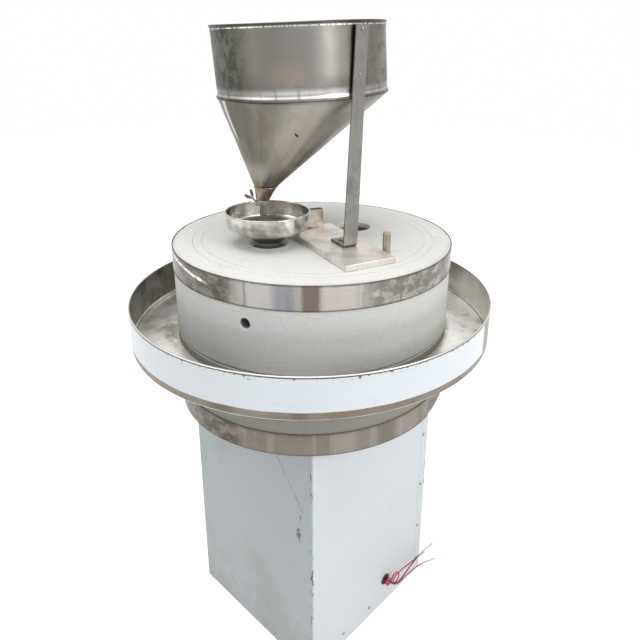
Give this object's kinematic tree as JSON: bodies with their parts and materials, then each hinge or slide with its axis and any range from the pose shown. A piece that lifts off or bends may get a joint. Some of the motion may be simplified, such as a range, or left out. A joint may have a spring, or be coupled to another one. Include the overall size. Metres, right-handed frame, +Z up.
{
  "type": "electric stone mill",
  "caption": "Electric stone mill for cocoa: square sheet-metal base with gear motor, banded bed stone in a round collecting tray, turning runner stone, feed bowl and leaning hopper.",
  "frame": {"origin": "on the mill's vertical axis at the floor, under the middle of the square base", "axes": "+Z up along the shaft; +X out of the side panel with the motor leads; +Y out of the rear cover; the lead-free front side panel in the picture's left half faces -Y"},
  "size_m": [0.788, 0.788, 1.3997],
  "materials": {
    "painted_sheet": "pale blue-white painted sheet",
    "frame_paint": "dark primer",
    "white_film": "satin protective film",
    "tray_steel": "brushed",
    "band_steel": "rolled",
    "bar_steel": "worn mill finish",
    "stainless_sheet": "brushed",
    "bowl_sheet": "polished",
    "bright_steel": "ground",
    "granite": "dressed grey stone",
    "cast_grey": "painted casting",
    "motor_blue": "satin",
    "zinc_screw": "zinc plated",
    "bronze_bush": "turned",
    "black_rubber": "matte",
    "fan_plastic": "moulded",
    "red_insulation": "satin",
    "dark_insulation": "satin"
  },
  "bodies": {
    "base": {"base_frame": "frame_paint", "base_wrap": "painted_sheet", "rear_cover": "painted_sheet", "top_plate": "frame_paint", "bearing_housing": "cast_grey", "upper_bearing": "bright_steel", "lower_bearing": "bright_steel", "shaft_seal": "black_rubber", "bed_stone": "granite", "bed_band": "band_steel", "collecting_tray": "tray_steel", "discharge_chute": "tray_steel", "tray_film": "white_film", "gear_reducer": "cast_grey", "reducer_plate": "frame_paint", "motor_body": "motor_blue", "fan_cover": "motor_blue", "terminal_box": "motor_blue", "lead_grommet": "black_rubber", "upper_lead": "dark_insulation", "knotted_lead": "red_insulation", "lower_lead": "red_insulation", "cover_screw_1": "zinc_screw", "cover_screw_2": "zinc_screw", "cover_screw_3": "zinc_screw", "cover_screw_4": "zinc_screw", "cover_screw_5": "zinc_screw", "cover_screw_6": "zinc_screw", "cover_screw_7": "zinc_screw", "cover_screw_8": "zinc_screw", "wrap_screw_1": "zinc_screw", "wrap_screw_2": "zinc_screw", "housing_bolt_1": "zinc_screw", "housing_bolt_2": "zinc_screw", "housing_bolt_3": "zinc_screw", "reducer_bolt_1": "zinc_screw", "reducer_bolt_2": "zinc_screw", "reducer_bolt_3": "zinc_screw"},
    "runner": {"runner_stone": "granite", "runner_band": "band_steel", "drive_pin": "band_steel", "runner_bush": "bronze_bush"},
    "head": {"main_shaft": "bright_steel", "output_shaft": "bright_steel", "shaft_coupling": "cast_grey", "driver_bar": "bar_steel", "foot_bolt": "zinc_screw", "hopper_post": "bar_steel", "hopper_drum": "stainless_sheet", "hopper_cone": "stainless_sheet", "hopper_spout": "stainless_sheet", "spout_collar": "stainless_sheet", "feed_bowl": "bowl_sheet", "bowl_bracket": "bar_steel", "hopper_screw_1": "zinc_screw", "hopper_screw_2": "zinc_screw"},
    "feed_tube": {"feed_tube": "bright_steel"},
    "thumb_screw": {"thumb_screw": "zinc_screw"},
    "motor_fan": {"motor_fan": "fan_plastic"}
  },
  "joints": [
    {"name": "runner_spin", "type": "hinge", "parent": "base", "child": "runner", "pos_m": [0, 0, 0.86], "axis": [0, 0, 1], "continuous": true},
    {"name": "head_spin", "type": "hinge", "parent": "base", "child": "head", "pos_m": [0, 0, 0.72], "axis": [0, 0, 1], "continuous": true},
    {"name": "fan_spin", "type": "hinge", "parent": "base", "child": "motor_fan", "pos_m": [0, 0, 0.1], "axis": [0, 0, 1], "continuous": true},
    {"name": "feed_tube_slide", "type": "slide", "parent": "head", "child": "feed_tube", "axis": [0, 0, 1], "range_m": [-0.012, 0.012]},
    {"name": "thumb_screw_turn", "type": "hinge", "parent": "head", "child": "thumb_screw", "pos_m": [-0.04125, -0.1259, 1.037], "axis": [-0.4696, -0.439, 0.766], "range_deg": [-90, 90]}
  ],
  "couplings": [
    {"joint": "head_spin", "follows": "runner_spin", "ratio": 1},
    {"joint": "fan_spin", "follows": "runner_spin", "ratio": 25}
  ]
}
